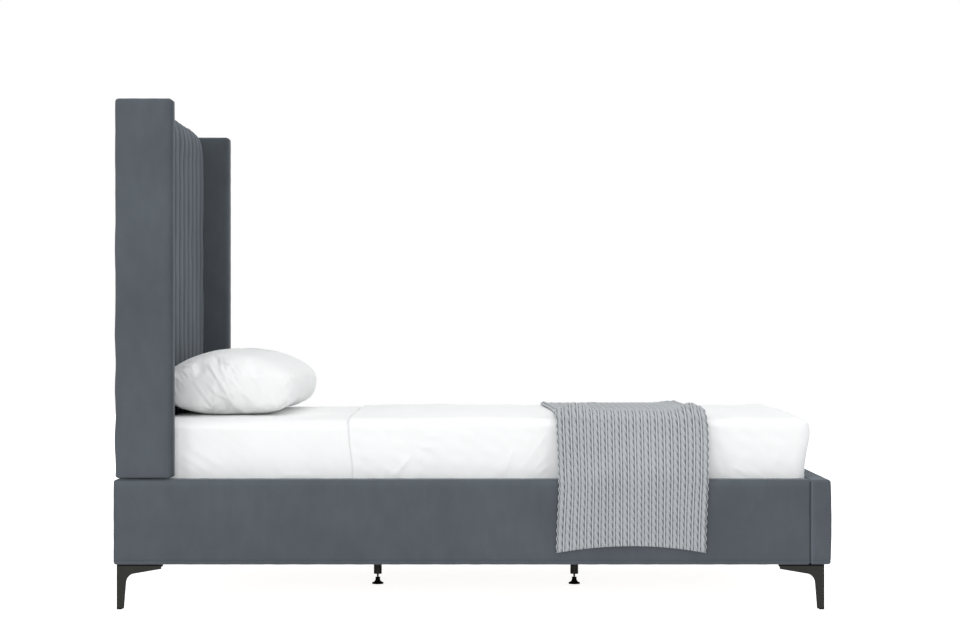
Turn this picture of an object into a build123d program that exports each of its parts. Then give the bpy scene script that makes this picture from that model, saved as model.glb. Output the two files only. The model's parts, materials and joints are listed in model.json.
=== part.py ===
from build123d import *
from math import cos, radians, sin
import os

os.makedirs("parts", exist_ok=True)

# The bed stands on its legs at Z = 0, with the origin at the centre of its footprint.
# The headboard is at -X and the footboard at +X. Left and right are as seen from the foot: left is -Y.
bed_length = 2063
bed_width = 1100
wing_top_height = 1471
frame_bottom_height = 130
frame_height = 244
rail_thickness = 60
footboard_thickness = 60
wing_depth = 164
wing_seam_gap = 4
wing_back_inset = 4

# Upholstery over the wood: padded faces, a bare wrap underneath, and rounded edges
rail_padding = 12
board_padding = 12
wrap_thickness = 2
soft_edge_radius = 9

# Headboard frame, its plywood and the channelled pad in front
frame_timber_depth = 40
post_width = 60
crossbar_height = 60
middle_bar_height = 820
plywood_thickness = 15
plywood_rise = 20
plywood_top_flat = 2
back_cover_thickness = 1
pad_thickness = 24
pad_top_thickness = 25
pad_hanger_gap = 11
pad_crown = 11
pad_crown_power = 4
pad_roll_depth = 28
pad_roll_height = 100
channel_count = 13
channel_depth = 16

# Slatted base
slat_top_height = 300
slat_count = 12
slat_width = 90
slat_thickness = 18
slat_end_gap = 3
first_slat_inset = 30
ledger_width = 25
ledger_height = 38
ledger_end_gap = 8
beam_width = 45
beam_height = 50
beam_end_gap = 4
hanger_plate = 3
hanger_width = 100
hanger_height = 70
hanger_reach = 45

# Steel angles that bolt the frame together in its four corners
angle_plate = 4
angle_arm = 70
angle_height = 70
angle_ledger_gap = 9

# Corner legs: two arms of plate that meet at a corner, under a flange
leg_inset_side = 12
leg_inset_head = 8
leg_inset_foot = 18
leg_plate = 4
leg_spacer_thickness = 4.5
leg_flange_width = 30
leg_arm_length = 128
leg_arm_tip_depth = 9
leg_foot_width = 20.5
leg_neck_width = 26.5
leg_neck_drop = 47.5
leg_bend_width = 52
leg_bend_drop = 22
leg_bend_middle_width = 34
leg_bend_middle_drop = 31
leg_pad_thickness = 3
leg_pad_rise = 12
leg_pad_width = 14

# Centre supports: a tube, a plug with a thread, and a screw foot
support_spacing = 624
support_radius = 12.5
support_wall = 1.5
plug_length = 20
stem_radius = 3
stem_running_gap = 0.06
stem_length = 70
foot_base_radius = 18
foot_rim_height = 4
foot_neck_radius = 8
foot_height = 21
foot_travel = 10
foot_stop_gap = 1
foot_bore_depth = 15

# Screws and bolts: shank radius, head radius, head height and how deep they hold in wood
screw_radius = 2.5
screw_head_radius = 5
screw_head_height = 2.5
screw_grip = 14
bolt_radius = 4
bolt_head_radius = 6.5
bolt_head_height = 4
bolt_grip = 18
hole_gap = 0.1
wing_bolt_margin = 100

# Mattress and bedding
mattress_end_gap = 7
mattress_side_gap = 7.5
mattress_height = 248
mattress_edge_radius = 28
mattress_corner_radius = 55
bedding_gap = 0.3
fitted_sheet_thickness = 2
fitted_hem_height = 20
top_sheet_thickness = 4
top_sheet_hem_height = 40
top_sheet_start = 588
pillow_length = 740
pillow_depth = 412
pillow_height = 198
pillow_wall_gap = 2
throw_width = 436
throw_foot_inset = 572.5
throw_thickness = 10
throw_drop = 400
throw_arch = 20
throw_shoulder_radius = 34
throw_rail_gap = 3

# Shares of the size that each row follows
pillow_station_shares = (-1, -0.94, -0.78, 0, 0.78, 0.94, 1)
pillow_height_shares = (0.3, 0.68, 0.93, 1, 0.93, 0.68, 0.3)
pillow_depth_shares = (0.93, 0.985, 1, 0.97, 1, 0.985, 0.93)
pillow_seam_share = 0.5
pillow_shoulder_out_share = 0.6
pillow_shoulder_up_share = 0.69
pillow_shoulder_side_share = 0.87
pillow_hip_out_share = 0.7
pillow_hip_down_share = 0.84
pillow_hip_side_share = 0.95
leg_screw_shares = (0.4, 0.82)
angle_bolt_shares = (0.3, 0.7)
ledger_screw_count = 5
wing_bolt_count = 3

# One overrun serves all cuts that go right through
overrun = 20

# Places that follow from the sizes above
head_end = -bed_length / 2
foot_end = bed_length / 2
footboard_face = foot_end - footboard_thickness
half_width = bed_width / 2
rail_face = half_width - rail_thickness
frame_top_height = frame_bottom_height + frame_height
wing_thickness = rail_thickness
wing_face = half_width - wing_thickness
wing_bottom_height = frame_top_height + wing_seam_gap
headboard_back = head_end + wing_back_inset
post_back = headboard_back + back_cover_thickness
post_front = post_back + frame_timber_depth
plywood_front = post_front + plywood_thickness
pad_front = plywood_front + pad_thickness
board_top_height = wing_top_height - pad_top_thickness
plywood_bottom_height = frame_bottom_height + plywood_rise
plywood_chamfer = plywood_thickness - plywood_top_flat
post_face = wing_face - post_width
ledger_face = rail_face - ledger_width
ledger_top_height = slat_top_height - slat_thickness
beam_bottom_height = ledger_top_height - beam_height
hanger_bottom_height = beam_bottom_height - hanger_plate
pad_bottom_height = hanger_bottom_height + hanger_height + pad_hanger_gap
angle_bottom_height = ledger_top_height - ledger_height - angle_ledger_gap - angle_height
leg_top_height = frame_bottom_height - leg_spacer_thickness
leg_bottom_height = leg_pad_thickness
flange_bottom_height = leg_top_height - leg_plate
leg_neck_height = leg_top_height - leg_neck_drop
leg_bend_middle_height = leg_top_height - leg_bend_middle_drop
leg_bend_height = leg_top_height - leg_bend_drop
support_bottom_height = foot_height + foot_travel + foot_stop_gap
mattress_length = footboard_face - pad_front - 2 * mattress_end_gap
mattress_width = 2 * (rail_face - mattress_side_gap)
sides = {"left": -1, "right": 1}


def block(x_from, x_to, y_from, y_to, z_from, z_to, mode=Mode.ADD):
    """A box between two corners, added to the sub-part being built or cut from it."""
    with Locations(((x_from + x_to) / 2, (y_from + y_to) / 2, (z_from + z_to) / 2)):
        Box(abs(x_to - x_from), abs(y_to - y_from), abs(z_to - z_from), mode=mode)


def add_fasteners(places, shank_radius, head_radius, head_height):
    """Screws or bolts: each row of places is the planes their heads seat on, facing out, and a length."""
    for seats, length in places:
        with Locations(*seats):
            Cylinder(shank_radius, length, align=(Align.CENTER, Align.CENTER, Align.MAX))
            Cylinder(head_radius, head_height, align=(Align.CENTER, Align.CENTER, Align.MIN))


def cut_holes(places, shank_radius):
    """The holes that those fasteners pass through or hold in."""
    for seats, length in places:
        with Locations(*seats):
            Cylinder(shank_radius + hole_gap, length + hole_gap, mode=Mode.SUBTRACT,
                     align=(Align.CENTER, Align.CENTER, Align.MAX))


# Corner legs: each outer corner, the way inward from it, and the flange screws
corners = {}
for side, out in sides.items():
    corners[f"head_{side}"] = (head_end + leg_inset_head, out * (half_width - leg_inset_side), 1, -out)
    corners[f"foot_{side}"] = (foot_end - leg_inset_foot, out * (half_width - leg_inset_side), -1, -out)

leg_screw_line = (leg_plate + leg_flange_width) / 2
leg_screw_length = leg_plate + leg_spacer_thickness + wrap_thickness + screw_grip
leg_screw_seats = []
for corner_x, corner_y, inward_x, inward_y in corners.values():
    for share in leg_screw_shares:
        along = leg_arm_length * share
        for step_x, step_y in ((along, leg_screw_line), (leg_screw_line, along)):
            seat = Plane(origin=(corner_x + inward_x * step_x, corner_y + inward_y * step_y,
                                 flange_bottom_height), z_dir=(0, 0, -1))
            leg_screw_seats.append(seat)
leg_screw_places = [(leg_screw_seats, leg_screw_length)]

# Corner angles: the face each stands on, the way inward, and the bolts in both arms
angles = {}
for side, out in sides.items():
    angles[f"head_{side}"] = (plywood_front, out * rail_face, 1, -out,
                              plywood_thickness + rail_padding)
    angles[f"foot_{side}"] = (footboard_face, out * rail_face, -1, -out, board_padding)

angle_bolt_places = []
for angle_x, angle_y, inward_x, inward_y, cover in angles.values():
    for share in angle_bolt_shares:
        bolt_z = angle_bottom_height + angle_height * share
        end_seat = Plane(origin=(angle_x + inward_x * angle_plate,
                                 angle_y + inward_y * angle_arm * angle_bolt_shares[-1], bolt_z),
                         z_dir=(inward_x, 0, 0))
        side_seat = Plane(origin=(angle_x + inward_x * angle_arm * angle_bolt_shares[-1],
                                  angle_y + inward_y * angle_plate, bolt_z),
                          z_dir=(0, inward_y, 0))
        angle_bolt_places.append(([end_seat], angle_plate + cover + bolt_grip))
        angle_bolt_places.append(([side_seat], angle_plate + rail_padding + bolt_grip))

# Wing bolts run from the inner face of each post out into the wing's core
wing_bolt_x = (post_back + board_padding + post_front) / 2
wing_bolt_bottom = frame_top_height + wing_bolt_margin
wing_bolt_step = (board_top_height - wing_bolt_margin - wing_bolt_bottom) / (wing_bolt_count - 1)
wing_bolt_seats = []
for out in sides.values():
    for number in range(wing_bolt_count):
        seat = Plane(origin=(wing_bolt_x, out * post_face, wing_bolt_bottom + number * wing_bolt_step),
                     z_dir=(0, -out, 0))
        wing_bolt_seats.append(seat)
wing_bolt_places = [(wing_bolt_seats, post_width + board_padding + bolt_grip)]

# Ledger screws run from each ledger's inner face out into the rail's core
ledger_from = plywood_front + ledger_end_gap
ledger_to = footboard_face - ledger_end_gap
ledger_pitch = (ledger_to - ledger_from) / ledger_screw_count
ledger_screw_seats = []
for out in sides.values():
    for number in range(ledger_screw_count):
        seat = Plane(origin=(ledger_from + (number + 0.5) * ledger_pitch, out * ledger_face,
                             ledger_top_height - ledger_height / 2), z_dir=(0, -out, 0))
        ledger_screw_seats.append(seat)
ledger_screw_places = [(ledger_screw_seats, ledger_width + rail_padding + screw_grip)]

# Beam hangers: two screws in each back plate, one above the other on each side of the beam
hanger_screw_y = (hanger_width + beam_width + 2 * hanger_plate) / 4
hanger_screw_z = hanger_bottom_height + hanger_height / 2
hanger_screw_places = []
for hanger_x, inward_x, cover in ((plywood_front, 1, 0), (footboard_face, -1, board_padding)):
    for out in sides.values():
        seat = Plane(origin=(hanger_x + inward_x * hanger_plate, out * hanger_screw_y, hanger_screw_z),
                     z_dir=(inward_x, 0, 0))
        hanger_screw_places.append(([seat], hanger_plate + cover + screw_grip - hole_gap))

# Side rails: a wood core in a padded cover, closed at both ends
core_head_end = head_end + rail_padding
core_foot_end = footboard_face - wrap_thickness
core_bottom = frame_bottom_height + wrap_thickness
core_top = frame_top_height - rail_padding

for side, out in sides.items():
    with BuildPart() as rail_board:
        block(core_head_end, core_foot_end, out * (rail_face + rail_padding),
              out * (half_width - rail_padding), core_bottom, core_top)
        cut_holes(leg_screw_places + ledger_screw_places, screw_radius)
        cut_holes(angle_bolt_places, bolt_radius)
    rail_board.part.label = f"rail_board_{side}"
    export_step(rail_board.part, f"parts/rail_board_{side}.step")

    with BuildPart() as rail_cover:
        block(head_end, footboard_face, out * rail_face, out * half_width,
              frame_bottom_height, frame_top_height)
        fillet(rail_cover.edges().filter_by(Axis.X), soft_edge_radius)
        block(core_head_end, core_foot_end, out * (rail_face + rail_padding),
              out * (half_width - rail_padding), core_bottom, core_top, mode=Mode.SUBTRACT)
        cut_holes(leg_screw_places + ledger_screw_places, screw_radius)
        cut_holes(angle_bolt_places, bolt_radius)
    rail_cover.part.label = f"rail_cover_{side}"
    export_step(rail_cover.part, f"parts/rail_cover_{side}.step")

    with BuildPart() as ledger:
        block(ledger_from, ledger_to, out * ledger_face, out * rail_face,
              ledger_top_height - ledger_height, ledger_top_height)
        cut_holes(ledger_screw_places, screw_radius)
    ledger.part.label = f"ledger_{side}"
    export_step(ledger.part, f"parts/ledger_{side}.step")

with BuildPart() as ledger_screws:
    add_fasteners(ledger_screw_places, screw_radius, screw_head_radius, screw_head_height)
ledger_screws.part.label = "ledger_screws"
export_step(ledger_screws.part, "parts/ledger_screws.step")

# Head rail between the side rails, which the headboard stands on
head_rail_front = post_front
with BuildPart() as head_rail_board:
    block(core_head_end, head_rail_front - rail_padding, -rail_face + wrap_thickness,
          rail_face - wrap_thickness, core_bottom, core_top)
    cut_holes(leg_screw_places, screw_radius)
    cut_holes(angle_bolt_places, bolt_radius)
head_rail_board.part.label = "head_rail_board"
export_step(head_rail_board.part, "parts/head_rail_board.step")

with BuildPart() as head_rail_cover:
    block(head_end, head_rail_front, -rail_face, rail_face, frame_bottom_height, frame_top_height)
    fillet(head_rail_cover.edges().filter_by(Axis.Y).group_by(Axis.X)[0], soft_edge_radius)
    block(core_head_end, head_rail_front - rail_padding, -rail_face + wrap_thickness,
          rail_face - wrap_thickness, core_bottom, core_top, mode=Mode.SUBTRACT)
    cut_holes(leg_screw_places, screw_radius)
    cut_holes(angle_bolt_places, bolt_radius)
head_rail_cover.part.label = "head_rail_cover"
export_step(head_rail_cover.part, "parts/head_rail_cover.step")

# Footboard across the ends of the rails
footboard_core_top = frame_top_height - board_padding
with BuildPart() as footboard_board:
    block(footboard_face + board_padding, foot_end - board_padding, -half_width + board_padding,
          half_width - board_padding, core_bottom, footboard_core_top)
    cut_holes(leg_screw_places + hanger_screw_places, screw_radius)
    cut_holes(angle_bolt_places, bolt_radius)
footboard_board.part.label = "footboard_board"
export_step(footboard_board.part, "parts/footboard_board.step")

with BuildPart() as footboard_cover:
    block(footboard_face, foot_end, -half_width, half_width, frame_bottom_height, frame_top_height)
    fillet(footboard_cover.edges().group_by(Axis.X)[-1], soft_edge_radius)
    fillet(footboard_cover.edges().group_by(Axis.X)[0].filter_by(Axis.Y).group_by(Axis.Z)[-1],
           soft_edge_radius)
    block(footboard_face + board_padding, foot_end - board_padding, -half_width + board_padding,
          half_width - board_padding, core_bottom, footboard_core_top, mode=Mode.SUBTRACT)
    cut_holes(leg_screw_places + hanger_screw_places, screw_radius)
    cut_holes(angle_bolt_places, bolt_radius)
footboard_cover.part.label = "footboard_cover"
export_step(footboard_cover.part, "parts/footboard_cover.step")

# Headboard frame: two posts and three crossbars that stand on the head rail
for side, out in sides.items():
    with BuildPart() as post:
        block(post_back, post_front, out * post_face, out * wing_face, frame_top_height, board_top_height)
        cut_holes(wing_bolt_places, bolt_radius)
    post.part.label = f"headboard_post_{side}"
    export_step(post.part, f"parts/headboard_post_{side}.step")

crossbar_bottoms = {
    "bottom": frame_top_height,
    "middle": middle_bar_height,
    "top": board_top_height - crossbar_height,
}
for level, crossbar_bottom in crossbar_bottoms.items():
    with BuildPart() as crossbar:
        block(post_back, post_front, -post_face, post_face, crossbar_bottom,
              crossbar_bottom + crossbar_height)
    crossbar.part.label = f"headboard_crossbar_{level}"
    export_step(crossbar.part, f"parts/headboard_crossbar_{level}.step")

# Plywood in front of the headboard frame, which runs down over the head rail
with BuildPart() as headboard_plywood:
    block(post_front, plywood_front, -wing_face, wing_face, plywood_bottom_height, board_top_height)
    chamfer(headboard_plywood.edges().filter_by(Axis.Y).group_by(Axis.Z)[-1].sort_by(Axis.X)[-1],
            plywood_chamfer)
    cut_holes(angle_bolt_places, bolt_radius)
    cut_holes(hanger_screw_places, screw_radius)
headboard_plywood.part.label = "headboard_plywood"
export_step(headboard_plywood.part, "parts/headboard_plywood.step")

with BuildPart() as headboard_back_cover:
    block(headboard_back, post_back, -wing_face, wing_face, frame_top_height, board_top_height)
headboard_back_cover.part.label = "headboard_back_cover"
export_step(headboard_back_cover.part, "parts/headboard_back_cover.step")

# Channelled pad: cross-sections that climb the plywood, roll over its top edge and end at the back
channel_pitch = 2 * wing_face / channel_count


def pad_crown_at(across, roll):
    """How far the pad swells at this place across it, from none on the face to all on top."""
    return pad_crown * roll * (1 - (across / wing_face) ** pad_crown_power)


def pad_section(back_x, back_z, crest_x, crest_z, roll):
    """A cross-section of the pad: a flat back and a row of channels, from the wood to the crest."""
    direction = Vector(crest_x - back_x, 0, crest_z - back_z)
    crest = direction.length
    outward = direction.normalized()
    plane = Plane(origin=(back_x, 0, back_z), x_dir=(0, 1, 0), z_dir=(outward.Z, 0, -outward.X))
    with BuildSketch(plane) as section:
        with BuildLine():
            for channel in range(channel_count):
                start = -wing_face + channel * channel_pitch
                middle = start + channel_pitch / 2
                end = start + channel_pitch
                ThreePointArc(
                    (start, crest - channel_depth + pad_crown_at(start, roll)),
                    (middle, crest + pad_crown_at(middle, roll)),
                    (end, crest - channel_depth + pad_crown_at(end, roll)),
                )
            Polyline((wing_face, crest - channel_depth), (wing_face, 0), (-wing_face, 0),
                     (-wing_face, crest - channel_depth))
        make_face()
    return section.sketch


roll_bottom = wing_top_height - pad_roll_height
roll_back = pad_front - pad_roll_depth
chamfer_bottom = board_top_height - plywood_chamfer
chamfer_back = plywood_front - plywood_chamfer
roll_backs = ((plywood_front, (roll_bottom + chamfer_bottom) / 2),
              (plywood_front, chamfer_bottom),
              ((plywood_front + chamfer_back) / 2, (chamfer_bottom + board_top_height) / 2),
              (chamfer_back, board_top_height))
with BuildPart() as headboard_pad:
    pad_sections = [
        pad_section(plywood_front, pad_bottom_height, pad_front, pad_bottom_height, 0),
        pad_section(plywood_front, roll_bottom, pad_front, roll_bottom, 0),
    ]
    for step, (back_x, back_z) in enumerate(roll_backs, start=1):
        turn = radians(90 * step / len(roll_backs))
        crest_x = roll_back + pad_roll_depth * cos(turn)
        crest_z = roll_bottom + pad_roll_height * sin(turn)
        pad_sections.append(pad_section(back_x, back_z, crest_x, crest_z, sin(turn)))
    pad_sections.append(pad_section(post_back, board_top_height, post_back, wing_top_height, 1))
    loft(pad_sections, ruled=True)
headboard_pad.part.label = "headboard_pad"
export_step(headboard_pad.part, "parts/headboard_pad.step")

# Wings: a wood core in a padded cover on each side of the headboard
wing_front = headboard_back + wing_depth
for side, out in sides.items():
    with BuildPart() as wing_board:
        block(headboard_back + board_padding, wing_front - board_padding,
              out * (wing_face + board_padding), out * (half_width - board_padding),
              wing_bottom_height + wrap_thickness, wing_top_height - board_padding)
        cut_holes(wing_bolt_places, bolt_radius)
    wing_board.part.label = f"wing_board_{side}"
    export_step(wing_board.part, f"parts/wing_board_{side}.step")

    with BuildPart() as wing_cover:
        block(headboard_back, wing_front, out * wing_face, out * half_width,
              wing_bottom_height, wing_top_height)
        fillet(wing_cover.edges().filter_by(Axis.Z) + wing_cover.edges().group_by(Axis.Z)[-1],
               soft_edge_radius)
        block(headboard_back + board_padding, wing_front - board_padding,
              out * (wing_face + board_padding), out * (half_width - board_padding),
              wing_bottom_height + wrap_thickness, wing_top_height - board_padding,
              mode=Mode.SUBTRACT)
        cut_holes(wing_bolt_places, bolt_radius)
    wing_cover.part.label = f"wing_cover_{side}"
    export_step(wing_cover.part, f"parts/wing_cover_{side}.step")

with BuildPart() as wing_bolts:
    add_fasteners(wing_bolt_places, bolt_radius, bolt_head_radius, bolt_head_height)
wing_bolts.part.label = "wing_bolts"
export_step(wing_bolts.part, "parts/wing_bolts.step")

# Corner angles and their bolts
with BuildPart() as corner_angles:
    for angle_x, angle_y, inward_x, inward_y, cover in angles.values():
        block(angle_x, angle_x + inward_x * angle_plate, angle_y, angle_y + inward_y * angle_arm,
              angle_bottom_height, angle_bottom_height + angle_height)
        block(angle_x, angle_x + inward_x * angle_arm, angle_y, angle_y + inward_y * angle_plate,
              angle_bottom_height, angle_bottom_height + angle_height)
    cut_holes(angle_bolt_places, bolt_radius)
corner_angles.part.label = "corner_angles"
export_step(corner_angles.part, "parts/corner_angles.step")

with BuildPart() as corner_bolts:
    add_fasteners(angle_bolt_places, bolt_radius, bolt_head_radius, bolt_head_height)
corner_bolts.part.label = "corner_bolts"
export_step(corner_bolts.part, "parts/corner_bolts.step")

# Centre beam in its two hangers
with BuildPart() as centre_beam:
    block(plywood_front + beam_end_gap, footboard_face - beam_end_gap, -beam_width / 2,
          beam_width / 2, beam_bottom_height, ledger_top_height)
centre_beam.part.label = "centre_beam"
export_step(centre_beam.part, "parts/centre_beam.step")

with BuildPart() as beam_hangers:
    cradle_half = beam_width / 2 + hanger_plate
    for hanger_x, inward_x in ((plywood_front, 1), (footboard_face, -1)):
        cradle_end = hanger_x + inward_x * hanger_reach
        block(hanger_x, hanger_x + inward_x * hanger_plate, -hanger_width / 2, hanger_width / 2,
              hanger_bottom_height, hanger_bottom_height + hanger_height)
        block(hanger_x, cradle_end, -cradle_half, cradle_half, hanger_bottom_height, ledger_top_height)
        block(hanger_x + inward_x * hanger_plate, cradle_end, -beam_width / 2, beam_width / 2,
              beam_bottom_height, ledger_top_height, mode=Mode.SUBTRACT)
    cut_holes(hanger_screw_places, screw_radius)
beam_hangers.part.label = "beam_hangers"
export_step(beam_hangers.part, "parts/beam_hangers.step")

with BuildPart() as hanger_screws:
    add_fasteners(hanger_screw_places, screw_radius, screw_head_radius, screw_head_height)
hanger_screws.part.label = "hanger_screws"
export_step(hanger_screws.part, "parts/hanger_screws.step")

# Slats across the ledgers and the beam
first_slat = pad_front + first_slat_inset + slat_width / 2
last_slat = footboard_face - first_slat_inset - slat_width / 2
slat_pitch = (last_slat - first_slat) / (slat_count - 1)
for number in range(slat_count):
    slat_x = first_slat + number * slat_pitch
    with BuildPart() as slat:
        block(slat_x - slat_width / 2, slat_x + slat_width / 2, -rail_face + slat_end_gap,
              rail_face - slat_end_gap, ledger_top_height, slat_top_height)
    slat.part.label = f"slat_{number + 1:02d}"
    export_step(slat.part, f"parts/slat_{number + 1:02d}.step")


def leg_face(plane, corner, inward):
    """The face of one arm of a leg: a slim foot that curves out under the frame."""
    with BuildSketch(plane) as face:
        with BuildLine():
            Polyline((corner, leg_bottom_height), (corner + inward * leg_foot_width, leg_bottom_height),
                     (corner + inward * leg_neck_width, leg_neck_height))
            ThreePointArc((corner + inward * leg_neck_width, leg_neck_height),
                          (corner + inward * leg_bend_middle_width, leg_bend_middle_height),
                          (corner + inward * leg_bend_width, leg_bend_height))
            Polyline((corner + inward * leg_bend_width, leg_bend_height),
                     (corner + inward * leg_arm_length, leg_top_height - leg_arm_tip_depth),
                     (corner + inward * leg_arm_length, leg_top_height),
                     (corner, leg_top_height),
                     (corner, leg_bottom_height))
        make_face()
    return face.sketch


for name, (corner_x, corner_y, inward_x, inward_y) in corners.items():
    with BuildPart() as corner_leg:
        extrude(leg_face(Plane.XZ.offset(-corner_y), corner_x, inward_x), amount=-inward_y * leg_plate)
        extrude(leg_face(Plane.YZ.offset(corner_x), corner_y, inward_y), amount=inward_x * leg_plate)
        block(corner_x, corner_x + inward_x * leg_arm_length, corner_y,
              corner_y + inward_y * leg_flange_width, flange_bottom_height, leg_top_height)
        block(corner_x, corner_x + inward_x * leg_flange_width, corner_y,
              corner_y + inward_y * leg_arm_length, flange_bottom_height, leg_top_height)
        cut_holes(leg_screw_places, screw_radius)
    corner_leg.part.label = f"corner_leg_{name}"
    export_step(corner_leg.part, f"parts/corner_leg_{name}.step")

# Spacers between the legs' flanges and the frame
with BuildPart() as leg_spacers:
    for corner_x, corner_y, inward_x, inward_y in corners.values():
        block(corner_x, corner_x + inward_x * leg_arm_length, corner_y,
              corner_y + inward_y * leg_flange_width, leg_top_height, frame_bottom_height)
        block(corner_x, corner_x + inward_x * leg_flange_width, corner_y,
              corner_y + inward_y * leg_arm_length, leg_top_height, frame_bottom_height)
    cut_holes(leg_screw_places, screw_radius)
leg_spacers.part.label = "leg_spacers"
export_step(leg_spacers.part, "parts/leg_spacers.step")

# Glide pads: a sole under each leg's corner and a block in the angle of its two plates
with BuildPart() as leg_pads:
    for corner_x, corner_y, inward_x, inward_y in corners.values():
        block(corner_x, corner_x + inward_x * leg_pad_width, corner_y,
              corner_y + inward_y * leg_pad_width, 0, leg_bottom_height)
        block(corner_x + inward_x * leg_plate, corner_x + inward_x * leg_pad_width,
              corner_y + inward_y * leg_plate, corner_y + inward_y * leg_pad_width,
              leg_bottom_height, leg_bottom_height + leg_pad_rise)
leg_pads.part.label = "leg_pads"
export_step(leg_pads.part, "parts/leg_pads.step")

with BuildPart() as leg_screws:
    add_fasteners(leg_screw_places, screw_radius, screw_head_radius, screw_head_height)
leg_screws.part.label = "leg_screws"
export_step(leg_screws.part, "parts/leg_screws.step")

# Centre supports under the beam
supports = {"head": -support_spacing / 2, "foot": support_spacing / 2}
tube_bore_radius = support_radius - support_wall
with BuildPart() as support_plugs:
    for support_x in supports.values():
        with Locations((support_x, 0, support_bottom_height)):
            Cylinder(tube_bore_radius, plug_length, align=(Align.CENTER, Align.CENTER, Align.MIN))
            Cylinder(stem_radius + stem_running_gap, plug_length, mode=Mode.SUBTRACT,
                     align=(Align.CENTER, Align.CENTER, Align.MIN))
support_plugs.part.label = "support_plugs"
export_step(support_plugs.part, "parts/support_plugs.step")

for place, support_x in supports.items():
    with BuildPart() as support_tube:
        with Locations((support_x, 0, support_bottom_height)):
            Cylinder(support_radius, beam_bottom_height - support_bottom_height,
                     align=(Align.CENTER, Align.CENTER, Align.MIN))
            Cylinder(tube_bore_radius, beam_bottom_height - support_bottom_height,
                     align=(Align.CENTER, Align.CENTER, Align.MIN), mode=Mode.SUBTRACT)
    support_tube.part.label = f"support_tube_{place}"
    export_step(support_tube.part, f"parts/support_tube_{place}.step")

    with BuildPart() as stem:
        with Locations((support_x, 0, foot_height - foot_bore_depth)):
            Cylinder(stem_radius, stem_length, align=(Align.CENTER, Align.CENTER, Align.MIN))
    stem.part.label = f"glide_stem_{place}"
    export_step(stem.part, f"parts/glide_stem_{place}.step")

    with BuildPart() as screw_foot:
        with BuildSketch(Plane.XZ):
            with BuildLine():
                Polyline((0, foot_height), (0, 0), (foot_base_radius, 0),
                         (foot_base_radius, foot_rim_height))
                ThreePointArc((foot_base_radius, foot_rim_height),
                              ((foot_base_radius + 3 * foot_neck_radius) / 4,
                               (foot_rim_height * 3 + foot_height) / 4),
                              (foot_neck_radius, foot_height))
                Line((foot_neck_radius, foot_height), (0, foot_height))
            make_face()
        revolve(axis=Axis.Z)
        with Locations((0, 0, foot_height)):
            Cylinder(stem_radius + stem_running_gap, foot_bore_depth, mode=Mode.SUBTRACT,
                     align=(Align.CENTER, Align.CENTER, Align.MAX))
    glide_foot = Pos(support_x, 0, 0) * screw_foot.part
    glide_foot.label = f"glide_foot_{place}"
    export_step(glide_foot, f"parts/glide_foot_{place}.step")


def soft_block(growth, z_from):
    """The mattress's shape, grown on its sides and top by the bedding around it."""
    centre_x = (pad_front + footboard_face) / 2
    z_to = slat_top_height + bedding_gap + mattress_height + growth
    with BuildSketch(Plane.XY.offset(z_from)) as outline:
        with Locations((centre_x, 0)):
            RectangleRounded(mattress_length + 2 * growth, mattress_width + 2 * growth,
                             mattress_corner_radius + growth)
    extrude(outline.sketch, amount=z_to - z_from)


# Mattress, and the two sheets around it
mattress_bottom = slat_top_height + bedding_gap
with BuildPart() as mattress:
    soft_block(0, mattress_bottom)
    fillet(mattress.edges().group_by(Axis.Z)[-1], mattress_edge_radius)
    fillet(mattress.edges().group_by(Axis.Z)[0], mattress_edge_radius / 2)
mattress.part.label = "mattress"
export_step(mattress.part, "parts/mattress.step")

with BuildPart() as fitted_outside:
    soft_block(fitted_sheet_thickness, mattress_bottom + fitted_hem_height)
    fillet(fitted_outside.edges().group_by(Axis.Z)[-1], mattress_edge_radius + fitted_sheet_thickness)

with BuildPart() as fitted_sheet:
    add(fitted_outside.part)
    add(mattress.part, mode=Mode.SUBTRACT)
fitted_sheet.part.label = "fitted_sheet"
export_step(fitted_sheet.part, "parts/fitted_sheet.step")

bedding_thickness = fitted_sheet_thickness + top_sheet_thickness
with BuildPart() as top_sheet:
    soft_block(bedding_thickness, mattress_bottom + top_sheet_hem_height)
    fillet(top_sheet.edges().group_by(Axis.Z)[-1], mattress_edge_radius + bedding_thickness)
    add(fitted_outside.part, mode=Mode.SUBTRACT)
    block(head_end, pad_front + top_sheet_start, -half_width, half_width, mattress_bottom,
          wing_top_height, mode=Mode.SUBTRACT)
top_sheet.part.label = "top_sheet"
export_step(top_sheet.part, "parts/top_sheet.step")

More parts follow.
